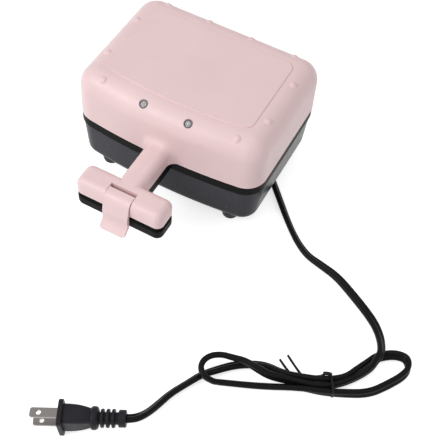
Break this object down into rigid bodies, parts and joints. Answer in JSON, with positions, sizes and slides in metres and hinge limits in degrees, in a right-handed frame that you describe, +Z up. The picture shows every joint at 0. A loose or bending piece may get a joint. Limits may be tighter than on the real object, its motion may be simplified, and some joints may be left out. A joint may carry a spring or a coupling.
{
  "type": "sandwich maker",
  "caption": "Small countertop sandwich maker with a hinged domed lid, a two-part T-shaped handle with a front latch, heated pocketed plates, indicator lamps and a tied power cord with plug.",
  "frame": {"origin": "on the surface the feet stand on, under the middle of the box round the housing, handle, latch and hinge", "axes": "+Z up; -Y towards the handle; +Y towards the hinge; +X to the right seen from the handle"},
  "size_m": [0.2955, 0.3212, 0.0917],
  "materials": {
    "lid_plastic": "satin pale pink moulding",
    "base_plastic": "semi-gloss black moulding",
    "frame_plastic": "matt heat-resistant black moulding",
    "plate_coating": "dark non-stick coating on pressed metal",
    "heater_steel": "dull tubular element",
    "reflector_metal": "bright thin sheet",
    "pin_steel": "plain steel",
    "screw_steel": "zinc-plated steel",
    "lamp_black": "black ring",
    "lens_clear": "clear lens",
    "neon_glass": "glow lamp",
    "electric_plastic": "pale heat-resistant moulding",
    "foot_rubber": "soft black rubber",
    "cord_black": "black flexible insulation",
    "tie_black": "coated wire tie",
    "blade_metal": "plated blades"
  },
  "bodies": {
    "base": {"back_left_foot": "foot_rubber", "back_right_foot": "foot_rubber", "base_shell": "base_plastic", "cord_clamp": "electric_plastic", "cord_gland": "cord_black", "cord_hank": "cord_black", "cord_lead": "cord_black", "cord_tail": "cord_black", "front_left_foot": "foot_rubber", "front_right_foot": "foot_rubber", "left_hinge_pin": "pin_steel", "lower_frame_screws": "screw_steel", "lower_handle_cover": "base_plastic", "lower_heater": "heater_steel", "lower_plate": "plate_coating", "lower_plate_frame": "frame_plastic", "lower_reflector": "reflector_metal", "lower_reflector_screws": "screw_steel", "plug_blades": "blade_metal", "plug_body": "cord_black", "right_hinge_pin": "pin_steel", "terminal_block": "electric_plastic", "thermostat": "reflector_metal", "twist_tie": "tie_black"},
    "lid": {"fuse_band": "reflector_metal", "latch_pin": "pin_steel", "left_lamp_bezel": "lamp_black", "left_lamp_lens": "lens_clear", "left_lamp_neon": "neon_glass", "left_lamp_socket": "electric_plastic", "lid_shell": "lid_plastic", "right_lamp_bezel": "lamp_black", "right_lamp_lens": "lens_clear", "right_lamp_neon": "neon_glass", "right_lamp_socket": "electric_plastic", "thermal_fuse": "reflector_metal", "upper_frame_screws": "screw_steel", "upper_handle_cover": "lid_plastic", "upper_heater": "heater_steel", "upper_plate": "plate_coating", "upper_plate_frame": "frame_plastic", "upper_reflector": "reflector_metal", "upper_reflector_screws": "screw_steel"},
    "latch": {"latch": "lid_plastic"}
  },
  "joints": [
    {"name": "lid_hinge", "type": "hinge", "parent": "base", "child": "lid", "pos_m": [0, 0.0898, 0.05055], "axis": [-1, 0, 0], "range_deg": [0, 100]},
    {"name": "latch_pivot", "type": "hinge", "parent": "lid", "child": "latch", "pos_m": [0, -0.0808, 0.0614], "axis": [-1, 0, 0], "range_deg": [0, 95]}
  ]
}
